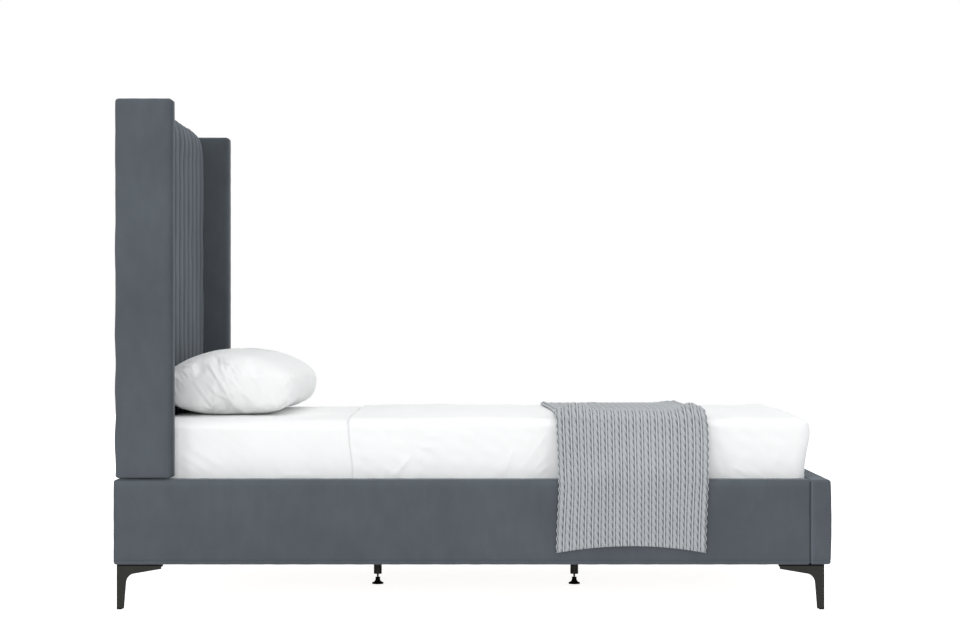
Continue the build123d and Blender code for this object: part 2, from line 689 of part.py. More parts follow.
# Pillow: cross-sections from seam to seam, fullest in the middle and drawn in along its sides
pillow_bottom = mattress_bottom + mattress_height + fitted_sheet_thickness + bedding_gap
pillow_x = pad_front + pillow_wall_gap + pillow_depth / 2
with BuildPart() as pillow:
    for station, height_share, depth_share in zip(
            pillow_station_shares, pillow_height_shares, pillow_depth_shares):
        reach = pillow_depth * depth_share / 2
        seam_z = pillow_bottom + pillow_height * pillow_seam_share
        top_z = seam_z + pillow_height * (1 - pillow_seam_share) * height_share
        low_z = seam_z - pillow_height * pillow_seam_share * height_share
        shoulder_x = reach * pillow_shoulder_out_share
        shoulder_z = seam_z + (top_z - seam_z) * pillow_shoulder_up_share
        upper_side_x = reach * pillow_shoulder_side_share
        hip_x = reach * pillow_hip_out_share
        hip_z = seam_z + (low_z - seam_z) * pillow_hip_down_share
        lower_side_x = reach * pillow_hip_side_share
        with BuildSketch(Plane.XZ.offset(-station * pillow_length / 2)):
            with BuildLine():
                ThreePointArc((pillow_x - shoulder_x, shoulder_z), (pillow_x, top_z),
                              (pillow_x + shoulder_x, shoulder_z))
                ThreePointArc((pillow_x + shoulder_x, shoulder_z),
                              (pillow_x + upper_side_x, (shoulder_z + seam_z) / 2),
                              (pillow_x + reach, seam_z))
                ThreePointArc((pillow_x + reach, seam_z),
                              (pillow_x + lower_side_x, (hip_z + seam_z) / 2),
                              (pillow_x + hip_x, hip_z))
                ThreePointArc((pillow_x + hip_x, hip_z), (pillow_x, low_z),
                              (pillow_x - hip_x, hip_z))
                ThreePointArc((pillow_x - hip_x, hip_z),
                              (pillow_x - lower_side_x, (hip_z + seam_z) / 2),
                              (pillow_x - reach, seam_z))
                ThreePointArc((pillow_x - reach, seam_z),
                              (pillow_x - upper_side_x, (shoulder_z + seam_z) / 2),
                              (pillow_x - shoulder_x, shoulder_z))
            make_face()
    loft()
pillow.part.label = "pillow"
export_step(pillow.part, "parts/pillow.step")

# Throw: a folded blanket over the mattress that slopes out over the rails and hangs beside them
throw_bottom_z = mattress_bottom + mattress_height + bedding_thickness + bedding_gap
throw_top_z = throw_bottom_z + throw_thickness
throw_low_z = throw_top_z - throw_drop
throw_shoulder_y = mattress_width / 2 + bedding_thickness + bedding_gap
throw_hang_y = half_width + throw_rail_gap
throw_centre = foot_end - throw_foot_inset
with BuildPart() as throw:
    with BuildSketch(Plane.YZ.offset(throw_centre - throw_width / 2)) as throw_profile:
        with BuildLine():
            Polyline((-throw_hang_y, throw_low_z), (-throw_hang_y, frame_top_height),
                     (-throw_shoulder_y, throw_bottom_z), (throw_shoulder_y, throw_bottom_z),
                     (throw_hang_y, frame_top_height), (throw_hang_y, throw_low_z),
                     (throw_hang_y + throw_thickness, throw_low_z),
                     (throw_hang_y + throw_thickness, frame_top_height),
                     (throw_shoulder_y + throw_thickness, throw_top_z),
                     (-throw_shoulder_y - throw_thickness, throw_top_z),
                     (-throw_hang_y - throw_thickness, frame_top_height),
                     (-throw_hang_y - throw_thickness, throw_low_z), close=True)
        make_face()
        levels = throw_profile.vertices().group_by(Axis.Y)
        fillet(levels[-1], throw_shoulder_radius + throw_thickness)
        fillet(levels[-2], throw_shoulder_radius)
    extrude(amount=throw_width)
    with BuildSketch(Plane.XZ.offset(-half_width - overrun)):
        with BuildLine():
            throw_from = throw_centre - throw_width / 2
            throw_to = throw_centre + throw_width / 2
            Line((throw_from, throw_low_z), (throw_to, throw_low_z))
            ThreePointArc((throw_to, throw_low_z), (throw_centre, throw_low_z + throw_arch),
                          (throw_from, throw_low_z))
        make_face()
    extrude(amount=2 * (half_width + overrun), mode=Mode.SUBTRACT)
throw.part.label = "throw"
export_step(throw.part, "parts/throw.step")
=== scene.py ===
import json
import math

import bpy
import numpy as np
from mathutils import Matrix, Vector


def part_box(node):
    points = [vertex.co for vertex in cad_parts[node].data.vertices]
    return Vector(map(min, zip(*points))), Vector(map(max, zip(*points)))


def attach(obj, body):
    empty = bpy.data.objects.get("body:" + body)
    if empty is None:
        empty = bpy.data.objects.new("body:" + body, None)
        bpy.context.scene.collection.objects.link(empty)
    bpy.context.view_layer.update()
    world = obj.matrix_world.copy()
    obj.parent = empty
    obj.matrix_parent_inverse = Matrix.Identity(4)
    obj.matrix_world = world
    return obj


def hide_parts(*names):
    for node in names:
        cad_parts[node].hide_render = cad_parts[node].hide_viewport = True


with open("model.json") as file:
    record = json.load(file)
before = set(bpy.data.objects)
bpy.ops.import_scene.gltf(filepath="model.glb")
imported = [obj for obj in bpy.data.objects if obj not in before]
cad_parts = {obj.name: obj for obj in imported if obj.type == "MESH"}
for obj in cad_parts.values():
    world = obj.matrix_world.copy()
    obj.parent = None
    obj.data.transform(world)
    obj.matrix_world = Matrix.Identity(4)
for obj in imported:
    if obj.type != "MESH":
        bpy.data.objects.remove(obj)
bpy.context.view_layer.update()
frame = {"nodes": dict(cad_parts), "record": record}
scene = bpy.context.scene

# The camera is level and square to the bed's left side
camera_data = bpy.data.cameras.new("camera")
camera_data.lens = 67.6
camera_data.sensor_width = 36
camera_data.shift_x = -0.0339
camera_data.shift_y = 0.0135
camera = bpy.data.objects.new("camera", camera_data)
camera.location = (0.116, -5.727, 0.796)
camera.rotation_euler = (math.radians(90), 0, 0)
scene.collection.objects.link(camera)
scene.camera = camera

# Which body each node rides on and which material slot it has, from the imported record
body_of = {node: body for body, nodes in frame["record"]["behaviour"]["bodies"].items() for node in nodes}
slot_of = {row["node"]: row["material_slot"] for row in frame["record"]["subparts"]}

X, Y, Z = 0, 1, 2


def corners_of(node):
    """The lowest and highest corner of a CAD node, as arrays."""
    low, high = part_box(node)
    return np.array(low), np.array(high)


# Mesh tools
def box_skin(lines):
    """The points and quads of a box's skin on grid lines along X, Y and Z."""
    counts = [len(line) - 1 for line in lines]
    quads = []
    for axis in (X, Y, Z):
        across, along = [other for other in (X, Y, Z) if other != axis]
        i, j = np.meshgrid(np.arange(counts[across]), np.arange(counts[along]), indexing="ij")
        for end in (0, counts[axis]):
            corners = []
            for step_i, step_j in ((0, 0), (1, 0), (1, 1), (0, 1)):
                corner = np.zeros(i.shape + (3,), int)
                corner[..., axis] = end
                corner[..., across] = i + step_i
                corner[..., along] = j + step_j
                corners.append(corner)
            if (end == 0) != (axis == Y):
                corners.reverse()
            quads.append(np.stack(corners, axis=-2).reshape(-1, 4, 3))
    cells = np.concatenate(quads).reshape(-1, 3)
    codes = (cells[:, X] * (counts[Y] + 1) + cells[:, Y]) * (counts[Z] + 1) + cells[:, Z]
    _, first, index = np.unique(codes, return_index=True, return_inverse=True)
    points = np.stack([np.asarray(lines[axis])[cells[first, axis]] for axis in (X, Y, Z)], axis=-1)
    return points, index.reshape(-1, 4)


# Grid lines crowd round an edge, and round a seam this far apart and this far on both sides of it
lines_round_edge = 6
close_step = 0.001
close_reach = 0.006


def rounded_lines(low, high, radius, cell, close=()):
    """Grid lines a cell apart that crowd round both edges and round the places in close."""
    edge = radius * np.tan(np.radians(np.linspace(0, 45, lines_round_edge)))
    start = low + radius - edge[::-1]
    end = high - radius + edge
    count = max(1, math.ceil((end[0] - start[-1]) / cell))
    lines = [start, np.linspace(start[-1], end[0], count + 1)[1:-1], end]
    steps = np.arange(-close_reach, close_reach + close_step / 2, close_step)
    merged = np.sort(np.concatenate(lines + [place + steps for place in close]))
    least_gap = close_step * 0.6
    kept = [merged[0]]
    for value in merged[1:-1]:
        if value - kept[-1] > least_gap and merged[-1] - value > least_gap:
            kept.append(value)
    return np.array(kept + [merged[-1]])


def rounded_skin(low, high, radii, cells, close=((), (), ())):
    """A box's skin for rounded edges, with a radius, a cell size and close places for each axis."""
    return box_skin([rounded_lines(low[axis], high[axis], radii[axis], cells[axis], close[axis])
                     for axis in (X, Y, Z)])


def grid_quads(rows, columns):
    """The quads of a grid of points that are listed row by row."""
    first = (np.arange(rows - 1)[:, None] * columns + np.arange(columns - 1)).ravel()
    return np.stack([first, first + 1, first + columns + 1, first + columns], axis=1)


def round_edges(points, low, high, radii):
    """A box skin's points with its edges rounded, their normals, and how far round an edge each one is."""
    radii = np.asarray(radii, float)
    inner = np.clip(points, low + radii, high - radii)
    offset = (points - inner) / radii
    length = np.linalg.norm(offset, axis=1, keepdims=True)
    unit = offset / np.maximum(length, 1e-9)
    normals = unit / radii
    normals /= np.linalg.norm(normals, axis=1, keepdims=True)
    rim = np.sort(np.abs(offset), axis=1)[:, 1]
    return inner + unit * radii, normals, rim


def waves(points, length, seed, count=7):
    """A smooth uneven field between about -1 and 1, with lumps about this long."""
    draws = np.random.default_rng(seed)
    field = np.zeros(len(points))
    for _ in range(count):
        direction = draws.normal(size=points.shape[1])
        direction /= np.linalg.norm(direction)
        turns = draws.uniform(0.7, 1.5) * 2 * math.pi / length
        field += np.sin(points @ direction * turns + draws.uniform(0, 2 * math.pi))
    return field / math.sqrt(count)


def bell(distance, width):
    """A smooth hump that is 1 at no distance and fades over the width."""
    return np.exp(-(np.asarray(distance) / width) ** 2)


def ease(share):
    """A smooth step from 0 to 1 as the share goes from 0 to 1."""
    share = np.clip(share, 0, 1)
    return share * share * (3 - 2 * share)


def crease(a, b, start, end, width):
    """A ridge along the line from start to end on a flat face, which fades towards both of its ends."""
    start = np.array(start)
    way = np.array(end) - start
    length = np.linalg.norm(way)
    way = way / length
    along = ((a - start[0]) * way[0] + (b - start[1]) * way[1]) / length
    off = (b - start[1]) * way[0] - (a - start[0]) * way[1]
    return ease(4 * np.minimum(along, 1 - along)) * bell(off, width)


def travel_along(points):
    """How far along a line of points each of them lies."""
    return np.concatenate([[0], np.cumsum(np.linalg.norm(np.diff(points, axis=0), axis=1))])


def vertex_normals(points, faces):
    """The average normal of the quads round each point."""
    a, b, c, d = (points[faces[:, corner]] for corner in range(4))
    across = np.cross(c - a, d - b)
    normals = np.zeros_like(points)
    for corner in range(4):
        np.add.at(normals, faces[:, corner], across)
    return normals / np.maximum(np.linalg.norm(normals, axis=1, keepdims=True), 1e-12)


def thicken(outer, inner, faces):
    """A closed shell between two like skins, joined along their open edges."""
    edges = np.concatenate([faces[:, [corner, (corner + 1) % 4]] for corner in range(4)])
    low_first = np.sort(edges, axis=1)
    codes = low_first[:, 0] * len(outer) + low_first[:, 1]
    _, index, counts = np.unique(codes, return_inverse=True, return_counts=True)
    rim = edges[counts[index] == 1]
    step = len(outer)
    walls = np.stack([rim[:, 1], rim[:, 0], rim[:, 0] + step, rim[:, 1] + step], axis=1)
    return np.concatenate([outer, inner]), np.concatenate([faces, faces[:, ::-1] + step, walls])


def without(points, faces, unwanted):
    """The quads that aren't unwanted, with the points that they use."""
    used, index = np.unique(faces[~unwanted], return_inverse=True)
    return points[used], index.reshape(-1, 4)


def add_mesh(name, points, faces):
    """An object of the scene made from points and faces, with its mesh."""
    mesh = bpy.data.meshes.new(name)
    mesh.from_pydata(points, [], faces)
    mesh.update()
    made = bpy.data.objects.new(name, mesh)
    scene.collection.objects.link(made)
    return made, mesh


def make_piece(name, points, faces, nodes, shade=None):
    """A smooth mesh piece that stands for CAD nodes, with their body and their slot's finish."""
    piece, mesh = add_mesh(name, points.tolist(), faces.tolist())
    mesh.polygons.foreach_set("use_smooth", np.ones(len(faces), bool))
    if shade is not None:
        layer = mesh.attributes.new("shade", "FLOAT", "POINT")
        layer.data.foreach_set("value", np.asarray(shade, np.float32))
    mesh.update()
    mesh.materials.append(finishes[slot_of[nodes[0]]])
    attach(piece, body_of[nodes[0]])
    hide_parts(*nodes)
    return piece


# Material tools
def new_material(name, roughness, metallic=0.0, sheen=0.0, sheen_roughness=0.5, specular=0.5):
    material = bpy.data.materials.new(name)
    material.use_nodes = True
    shader = material.node_tree.nodes["Principled BSDF"]
    for socket, value in (("Roughness", roughness), ("Metallic", metallic), ("Sheen Weight", sheen),
                          ("Sheen Roughness", sheen_roughness), ("Specular IOR Level", specular)):
        shader.inputs[socket].default_value = value
    return material, material.node_tree, shader


def add_node(tree, kind, inputs, **settings):
    """A node whose inputs, given by name or number, are values or other nodes' outputs."""
    node = tree.nodes.new(kind)
    for name, value in settings.items():
        setattr(node, name, value)
    for socket, value in inputs.items():
        if isinstance(value, bpy.types.NodeSocket):
            tree.links.new(value, node.inputs[socket])
        else:
            node.inputs[socket].default_value = value
    return node


def place_on(tree, stretch=(1, 1, 1)):
    """The place on the object in metres, stretched along its axes."""
    place = add_node(tree, "ShaderNodeTexCoord", {}).outputs["Object"]
    return add_node(tree, "ShaderNodeMapping", {"Vector": place, "Scale": stretch}).outputs["Vector"]


def noise(tree, place, per_metre, detail=2.0, roughness=0.5):
    node = add_node(tree, "ShaderNodeTexNoise",
                    {"Vector": place, "Scale": per_metre, "Detail": detail, "Roughness": roughness})
    return node.outputs["Fac"]


# A wave texture of scale 1 has this many bands to a metre
bands_at_scale_one = 3.183


def bands(tree, place, per_metre, direction, distortion=0.0):
    """Bands across one axis, this many to a metre."""
    scale = per_metre / bands_at_scale_one
    node = add_node(tree, "ShaderNodeTexWave",
                    {"Vector": place, "Scale": scale, "Distortion": distortion, "Detail": 1.0},
                    bands_direction=direction, wave_profile="SIN")
    return node.outputs["Fac"]


def calculate(tree, operation, *values):
    return add_node(tree, "ShaderNodeMath", dict(enumerate(values)), operation=operation).outputs["Value"]


def weighted_sum(tree, *terms):
    """The sum of value and weight pairs, as one output."""
    total = 0.0
    for value, weight in terms:
        total = calculate(tree, "MULTIPLY_ADD", value, weight, total)
    return total


def shade_of(tree):
    """The shade kept on a mesh's points: painted highlights above 0, as on rounded rims, and painted shade
    below 0, as in seams.
    """
    return add_node(tree, "ShaderNodeAttribute", {}, attribute_name="shade").outputs["Fac"]


def set_colour(tree, shader, tone, colour, darker, lighter):
    """The colour where the tone is a half, a darker one where it is 0 and a lighter one where it is 1."""
    node = add_node(tree, "ShaderNodeValToRGB", {"Fac": tone})
    node.color_ramp.elements.new(0.5)
    for element, factor in zip(node.color_ramp.elements, (darker, 1.0, lighter)):
        element.color = (*[min(1.0, part * factor) for part in colour], 1)
    tree.links.new(node.outputs["Color"], shader.inputs["Base Color"])


def set_roughness(tree, shader, value, low, high):
    """A roughness from low to high as the value goes from 0 to 1."""
    node = add_node(tree, "ShaderNodeMapRange", {"Value": value, "To Min": low, "To Max": high})
    tree.links.new(node.outputs["Result"], shader.inputs["Roughness"])


def set_bump(tree, shader, height, distance, strength):
    node = add_node(tree, "ShaderNodeBump", {"Height": height, "Distance": distance, "Strength": strength})
    tree.links.new(node.outputs["Normal"], shader.inputs["Normal"])


def weave(tree, place, threads):
    """A plain weave that shows on faces of any direction."""
    return weighted_sum(tree, *((bands(tree, place, threads, axis), 0.33) for axis in "XYZ"))


# Materials
velvet_colour = (0.087, 0.099, 0.113)
velvet_sheen_tint = (0.62, 0.7, 0.78, 1)
knit_colour = (0.42, 0.44, 0.458)
dust_cloth_colour = (0.022, 0.022, 0.024)
pine_colour = (0.62, 0.46, 0.27)


def make_velvet():
    material, tree, shader = new_material("velvet", 0.9, sheen=0.2, sheen_roughness=0.35, specular=0.2)
    shader.inputs["Sheen Tint"].default_value = velvet_sheen_tint
    place = place_on(tree)
    patches = noise(tree, place, 4.5, 3.0)
    strokes = noise(tree, place_on(tree, (1, 1, 0.45)), 34, 3.0)
    nap = noise(tree, place, 800, 2.0, 0.7)
    tone = weighted_sum(tree, (patches, 0.5), (strokes, 0.3), (nap, 0.35), (shade_of(tree), 0.5),
                        (1.0, -0.075))
    set_colour(tree, shader, tone, velvet_colour, 0.62, 1.45)
    set_roughness(tree, shader, strokes, 0.82, 0.98)
    set_bump(tree, shader, weighted_sum(tree, (nap, 0.6), (strokes, 0.4)), 0.0006, 0.5)
    return material


def make_cotton(name, colour, threads, roughness):
    material, tree, shader = new_material(name, roughness, sheen=0.12, specular=0.25)
    place = place_on(tree)
    patches = noise(tree, place, 7, 3.0)
    fibres = noise(tree, place, 420, 2.0)
    tone = weighted_sum(tree, (patches, 0.5), (fibres, 0.3), (shade_of(tree), 0.5), (1.0, 0.1))
    set_colour(tree, shader, tone, colour, 0.93, 1.03)
    set_roughness(tree, shader, fibres, roughness - 0.08, roughness + 0.06)
    threads_height = weave(tree, place, threads)
    crinkle = noise(tree, place, 60, 3.0)
    set_bump(tree, shader, weighted_sum(tree, (threads_height, 0.15), (crinkle, 0.85)), 0.0008, 0.5)
    return material


def make_knit():
    material, tree, shader = new_material("knit", 0.92, sheen=0.25, specular=0.15)
    place = place_on(tree)
    patches = noise(tree, place, 9, 2.0)
    fibres = noise(tree, place_on(tree, (1.0, 0.5, 0.5)), 900, 3.0, 0.7)
    stitches = bands(tree, place_on(tree, (0.6, 1, 1)), 330, "DIAGONAL", 1.5)
    tone = weighted_sum(tree, (patches, 0.2), (fibres, 0.5), (stitches, 0.12), (shade_of(tree), 0.44),
                        (1.0, 0.14))
    set_colour(tree, shader, tone, knit_colour, 0.3, 1.42)
    set_roughness(tree, shader, fibres, 0.85, 0.98)
    set_bump(tree, shader, weighted_sum(tree, (fibres, 0.5), (stitches, 0.5)), 0.0012, 0.6)
    return material


def make_paint(name, colour, roughness, metallic, grain, specular=0.3):
    """Powder-coated metal or moulded plastic: a fine orange peel with faint scuffs."""
    material, tree, shader = new_material(name, roughness, metallic=metallic, specular=specular)
    place = place_on(tree)
    patches = noise(tree, place, 30, 4.0)
    peel = noise(tree, place, grain, 2.0)
    tone = weighted_sum(tree, (patches, 0.7), (peel, 0.3))
    set_colour(tree, shader, tone, colour, 0.75, 1.35)
    set_roughness(tree, shader, patches, roughness - 0.1, roughness + 0.12)
    set_bump(tree, shader, peel, 0.0002, 0.5)
    return material


def make_steel(name, colour, roughness):
    """Plated metal with fine marks across it and faint spots."""
    material, tree, shader = new_material(name, roughness, metallic=1.0)
    brushing = noise(tree, place_on(tree, (1, 1, 14)), 160, 3.0)
    spots = noise(tree, place_on(tree), 22, 4.0)
    tone = weighted_sum(tree, (brushing, 0.5), (spots, 0.5))
    set_colour(tree, shader, tone, colour, 0.75, 1.2)
    set_roughness(tree, shader, brushing, roughness - 0.08, roughness + 0.15)
    set_bump(tree, shader, brushing, 0.0001, 0.4)
    return material


def make_wood(name, colour, along, rings=26):
    """Sawn wood with its grain along one axis."""
    material, tree, shader = new_material(name, 0.62, specular=0.35)
    place = place_on(tree, tuple(0.06 if axis == along else 1.0 for axis in (X, Y, Z)))
    drift = noise(tree, place, 9, 2.0)
    waviness = {"Distortion": 5.0, "Detail": 3.0, "Detail Scale": 1.2}
    grain = add_node(tree, "ShaderNodeTexWave", {"Vector": place, "Scale": rings, **waviness},
                     wave_type="RINGS").outputs["Fac"]
    pores = noise(tree, place, 520, 3.0, 0.7)
    tone = weighted_sum(tree, (grain, 0.45), (drift, 0.25), (pores, 0.3))
    set_colour(tree, shader, tone, colour, 0.62, 1.22)
    set_roughness(tree, shader, pores, 0.5, 0.75)
    set_bump(tree, shader, weighted_sum(tree, (grain, 0.3), (pores, 0.7)), 0.0004, 0.5)
    return material


def make_dust_cloth():
    """Thin black spun cloth with small pressed dots."""
    material, tree, shader = new_material("dust_cloth", 0.95, sheen=0.2, specular=0.15)
    place = place_on(tree)
    dots = add_node(tree, "ShaderNodeTexVoronoi",
                    {"Vector": place, "Scale": 420, "Randomness": 0.25}).outputs["Distance"]
    fibres = noise(tree, place, 700, 3.0, 0.7)
    tone = weighted_sum(tree, (dots, 0.6), (fibres, 0.5))
    set_colour(tree, shader, tone, dust_cloth_colour, 0.5, 1.7)
    set_roughness(tree, shader, fibres, 0.88, 1.0)
    set_bump(tree, shader, weighted_sum(tree, (dots, 0.7), (fibres, 0.3)), 0.0005, 0.6)
    return material


pine_along = [make_wood(f"pine_along_{letter}", pine_colour, axis) for axis, letter in enumerate("xyz")]
dark_screw = make_steel("dark_screw", (0.03, 0.03, 0.03), 0.45)
finishes = {
    "velvet": make_velvet(),
    "dust_cloth": make_dust_cloth(),
    "pine": pine_along[X],
    "plywood": make_wood("plywood", (0.56, 0.42, 0.25), Z, 18),
    "slat_wood": make_wood("slat_wood", (0.74, 0.6, 0.4), Y, 20),
    "bronze_paint": make_paint("bronze_paint", (0.0225, 0.023, 0.019), 0.5, 0.3, 900),
    "zinc_steel": make_steel("zinc_steel", (0.6, 0.6, 0.58), 0.38),
    "black_steel": make_paint("black_steel", (0.04, 0.04, 0.04), 0.4, 0.2, 1100),
    "black_plastic": make_paint("black_plastic", (0.005, 0.005, 0.005), 0.7, 0.0, 1400, 0.08),
    "ticking": make_cotton("ticking", (0.74, 0.74, 0.72), 900, 0.85),
    "white_cotton": make_cotton("white_cotton", (0.93, 0.935, 0.93), 2600, 0.82),
    "grey_knit": make_knit(),
}

# Each CAD node gets its slot's finish, with the grain of a pine piece along its length
for name, node in frame["nodes"].items():
    finish = finishes[slot_of[name]]
    if name.startswith("glide_stem"):
        finish = dark_screw
    if slot_of[name] == "pine":
        low, high = corners_of(name)
        finish = pine_along[int(np.argmax(high - low))]
    node.data.materials.clear()
    node.data.materials.append(finish)


# Velvet over foam and wood
velvet_cell = 0.014
swell_margin = 0.06
rail_seam_rise = 0.012
rail_seam_width = 0.0022
rail_seam_depth = 0.0012
footboard_bulge = 0.0022
footboard_lip = 0.0015


def swell(points, normals, low, high, sizes):
    """How far a padded box swells at each point: most in the middle of a face and nothing at its edges."""
    reach = np.minimum(points - low, high - points)
    full = [1 - (1 - np.clip(reach[:, axis] / swell_margin, 0, 1)) ** 2 for axis in (X, Y, Z)]
    faces = [full[Y] * full[Z], full[X] * full[Z], full[X] * full[Y]]
    return sum(sizes[axis] * normals[:, axis] ** 2 * faces[axis] for axis in (X, Y, Z))


def velvet_box(node, radii, swells, change, seed, close=((), (), ())):
    """A padded velvet cover over a board: rounded edges, swollen faces and changes of its own."""
    low, high = corners_of(node)
    points, faces = rounded_skin(low, high, radii, [velvet_cell] * 3, close)
    points, normals, rim = round_edges(points, low, high, radii)
    height = swell(points, normals, low, high, swells)
    face = np.clip(height / max(swells), 0, 1)
    height += 0.0005 * face * waves(points, 0.23, seed) + 0.0002 * waves(points, 0.05, seed + 1)
    more_height, more_shade = change(points, normals, low, high)
    height = height + more_height
    # Painted highlight on the rounded edges
    shade = 0.2 * rim ** 2 + more_shade
    make_piece(f"{node}_velvet", points + normals * height[:, None], faces, [node], shade=shade)


def bottom_lines(points, low, upright):
    """The seam where the velvet is sewn to its wrap underneath, and the line of the bottom edge's painted
    highlight.
    """
    rise = points[:, Z] - low[Z]
    return bell(rise - rail_seam_rise, rail_seam_width) * upright, bell(rise - 0.002, 0.003)


def rail_change(points, normals, low, high):
    """The seam underneath with painted shade in it, and painted highlights along the top and bottom edges.
    """
    upright = np.abs(normals[:, Y]) ** 2
    seam, bottom_line = bottom_lines(points, low, upright)
    top_line = bell(points[:, Z] - high[Z] + 0.013, 0.005) * upright
    return -rail_seam_depth * seam, -0.15 * seam + 0.75 * top_line + 0.5 * bottom_line


def footboard_change(points, normals, low, high):
    """The seam underneath, an end that bulges, and a lip of the cover over the rails' ends, with painted
    shade in the seam and painted highlights on the lip and the bottom edge.
    """
    upright = np.maximum(np.abs(normals[:, X]), np.abs(normals[:, Y])) ** 2
    seam, bottom_line = bottom_lines(points, low, upright)
    climb = math.pi * (points[:, Z] - low[Z]) / (high[Z] - low[Z])
    bulge = footboard_bulge * np.maximum(normals[:, X], 0) * np.sin(climb)
    lip = bell(points[:, X] - low[X] - 0.004, 0.0035) * np.abs(normals[:, Y])
    height = bulge - rail_seam_depth * seam + footboard_lip * lip
    return height, -0.15 * seam + 0.9 * lip + 0.5 * bottom_line


def along_seam(node):
    """The close places of a cover's grid: along the seam underneath."""
    return (), (), (corners_of(node)[0][Z] + rail_seam_rise,)


for number, side in enumerate(("left", "right")):
    node = f"rail_cover_{side}"
    velvet_box(node, (0.007, 0.008, 0.008), (0.001, 0.0022, 0.0002), rail_change, 11 + number,
               along_seam(node))
velvet_box("footboard_cover", (0.008, 0.011, 0.009), (0.0018, 0.0022, 0.0004), footboard_change, 21,
           along_seam("footboard_cover"))
velvet_box("head_rail_cover", (0.008, 0.003, 0.011), (0.0022, 0.0005, 0.0004), rail_change, 31)

# Wings: the outer panel turns in at the front to a seam on the front face and rolls round the back edge
wing_seam_inset = 0.019
wing_turn_reach = 0.026
wing_back_reach = 0.02


def wing_change(points, normals, low, high):
    """A wing's seam, turned edges and wobble, with painted shade over the front and on the inner face."""
    x, y, z = points.T
    side = np.abs(normals[:, Y]) ** 2
    front = np.clip(normals[:, X], 0, 1) ** 2
    from_outside = max(abs(low[Y]), abs(high[Y])) - np.abs(y)
    seam = bell(from_outside - wing_seam_inset, 0.004) * front
    turn = side * np.clip(1 - (high[X] - x) / wing_turn_reach, 0, 1) ** 2
    back_roll = side * np.clip(1 - (x - low[X]) / wing_back_reach, 0, 1) ** 2
    wobble = 0.0012 * waves(points[:, [Z]], 0.2, 5) * np.maximum(-normals[:, X], 0)
    below_top = high[Z] - z
    top_line = bell(below_top, 0.0035)
    top_band = side * bell(below_top - 0.012, 0.006)
    height = wobble - 0.0018 * seam - 0.0035 * turn - 0.003 * back_roll
    corner = bell(from_outside - 0.006, 0.009) * front
    # Painted highlights on the back roll and a band below the top; painted shade in the seam, on the turn,
    # along the top edge, over the front and its corner, and on the inner face
    shade = 0.26 * back_roll - 0.6 * seam - 0.45 * turn - 0.4 * top_line + 0.12 * top_band - 0.35 * front
    inside = np.clip(-normals[:, Y] * np.sign(low[Y] + high[Y]), 0, 1)
    return height, shade - 0.4 * corner - 0.5 * inside


for number, side in enumerate(("left", "right")):
    low, high = corners_of(f"wing_cover_{side}")
    outside = low[Y] if abs(low[Y]) > abs(high[Y]) else high[Y]
    seam_line = outside - math.copysign(wing_seam_inset, outside)
    velvet_box(f"wing_cover_{side}", (0.012, 0.012, 0.008), (0.0006, 0.002, 0.0006), wing_change,
               41 + number, ((), (seam_line,), ()))

# Channelled headboard pad: rows of points climb the face, roll over the top and end at the back
channels = 13
channel_steps = 14
channel_depth = 0.0085
channel_depth_on_top = 0.004
pad_roll_depth = 0.028
pad_roll_height = 0.1
pad_crown = 0.008
pad_side_gap = 0.001
pad_back_radius = 0.008
pad_seat_step = 0.013
pad_least_thickness = 0.003
pucker_pitch = 0.021
pucker_height = 0.0007
plywood_front, _, board_top = corners_of("headboard_plywood")[1]


def pad_rows():
    """The seat on the wood, the crest and the roll of each row, from the bottom of the pad to its back."""
    low, high = corners_of("headboard_pad")
    top = high[Z] - pad_crown
    front = high[X]
    roll_start = top - pad_roll_height
    rows = []
    for height in np.linspace(low[Z], roll_start, 70)[:-1]:
        rows.append(((plywood_front, height), (front, height), 0.0))
    for turn in np.radians(np.linspace(0, 90, 26)):
        place = front - pad_roll_depth * (1 - math.cos(turn))
        crest = (place, roll_start + pad_roll_height * math.sin(turn))
        over = ease((math.degrees(turn) - 45) / 45)
        seat_height = min(crest[1] - 0.004 * over, board_top - pad_seat_step + pad_seat_step * over)
        rows.append(((plywood_front - pad_seat_step * over, seat_height), crest, math.sin(turn)))
    back = low[X]
    for place in np.linspace(front - pad_roll_depth, back + pad_back_radius, 7)[1:]:
        rows.append(((place - 0.001, board_top), (place, top), 1.0))
    for turn in np.radians((30, 60, 90)):
        place = back + pad_back_radius * (1 - math.sin(turn))
        crest = (place, top - pad_back_radius * (1 - math.cos(turn)))
        rows.append(((back + 0.002, board_top), crest, 1.0))
    return rows


